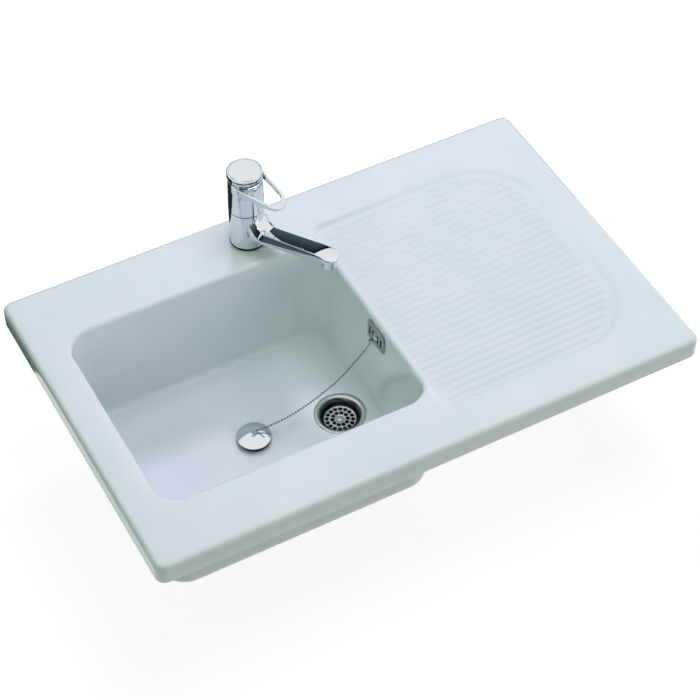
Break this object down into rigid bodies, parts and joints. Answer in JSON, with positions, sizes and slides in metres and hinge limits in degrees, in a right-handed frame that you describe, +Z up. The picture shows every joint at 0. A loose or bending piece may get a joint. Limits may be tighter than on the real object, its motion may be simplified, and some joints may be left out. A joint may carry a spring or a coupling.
{
  "type": "kitchen sink",
  "caption": "Stoneware kitchen sink with a bowl, a ribbed drainer, a lever tap with a swivel spout, a grid waste with overflow, and a plug on a ball chain.",
  "frame": {"origin": "on the flat underside of the rim, which rests on the worktop, at the middle of the front seat strip", "axes": "+X to the right, from the bowl to the drainer; +Y from the front to the tap at the back; +Z up"},
  "size_m": [0.9, 0.57, 0.4325],
  "materials": {
    "stoneware": "white glaze",
    "chrome": "polished chrome plate",
    "stainless": "bright pressed stainless steel",
    "chain_metal": "plated beads",
    "rubber": "matt black rubber",
    "white_plastic": "moulded polypropylene",
    "grey_plastic": "moulded acetal mesh",
    "acetal": "moulded acetal",
    "brass": "turned brass",
    "copper": "drawn copper tube",
    "zinc_steel": "zinc-plated steel",
    "disc_ceramic": "lapped alumina"
  },
  "bodies": {
    "sink": {"sink_body": "stoneware", "waste_strainer": "stainless", "waste_top_seal": "rubber", "waste_bottom_seal": "rubber", "waste_body": "white_plastic", "waste_insert": "brass", "waste_screw": "stainless", "overflow_plate": "chrome", "overflow_screw": "chrome", "overflow_front_seal": "rubber", "overflow_back_seal": "rubber", "overflow_elbow": "white_plastic", "overflow_pipe": "white_plastic", "overflow_pipe_nuts": "white_plastic", "hook_ring": "stainless", "chain_clasp": "stainless", "ball_chain": "chain_metal", "tap_seal": "rubber", "tap_base": "chrome", "tap_column": "brass", "swivel_lower_bush": "acetal", "swivel_upper_bush": "acetal", "swivel_o_rings": "rubber", "thrust_washer": "acetal", "cartridge_body": "acetal", "ceramic_discs": "disc_ceramic", "cartridge_nut": "brass", "tap_sleeve": "chrome", "fixing_stud": "brass", "fixing_gasket": "rubber", "fixing_plate": "zinc_steel", "fixing_nut": "brass", "hot_tail": "copper", "cold_tail": "copper"},
    "spout": {"spout_body": "chrome", "aerator_housing": "chrome", "aerator_insert": "grey_plastic"},
    "turret": {"cartridge_rotor": "acetal", "rotor_pin": "zinc_steel"},
    "lever": {"lever_stem": "zinc_steel", "lever_handle": "chrome", "lever_insert": "chrome", "lever_grub_screw": "zinc_steel"},
    "stopper": {"stopper_cap": "chrome", "stopper_seal": "rubber", "stopper_eyelet": "stainless"}
  },
  "joints": [
    {"name": "spout_swivel", "type": "hinge", "parent": "sink", "child": "spout", "pos_m": [-0.0545, 0.502, 0.081], "axis": [0, 0, 1], "range_deg": [-92.5, 47.5]},
    {"name": "lever_turn", "type": "hinge", "parent": "sink", "child": "turret", "pos_m": [-0.0545, 0.502, 0.1504], "axis": [0, 0, 1], "range_deg": [-82, 18]},
    {"name": "lever_lift", "type": "hinge", "parent": "turret", "child": "lever", "pos_m": [-0.0545, 0.502, 0.1504], "axis": [-0.848, -0.5299, 0], "range_deg": [0, 18]},
    {"name": "stopper_lift", "type": "slide", "parent": "sink", "child": "stopper", "axis": [0, 0, 1], "range_m": [0, 0.06], "deforming": ["ball_chain"]}
  ]
}
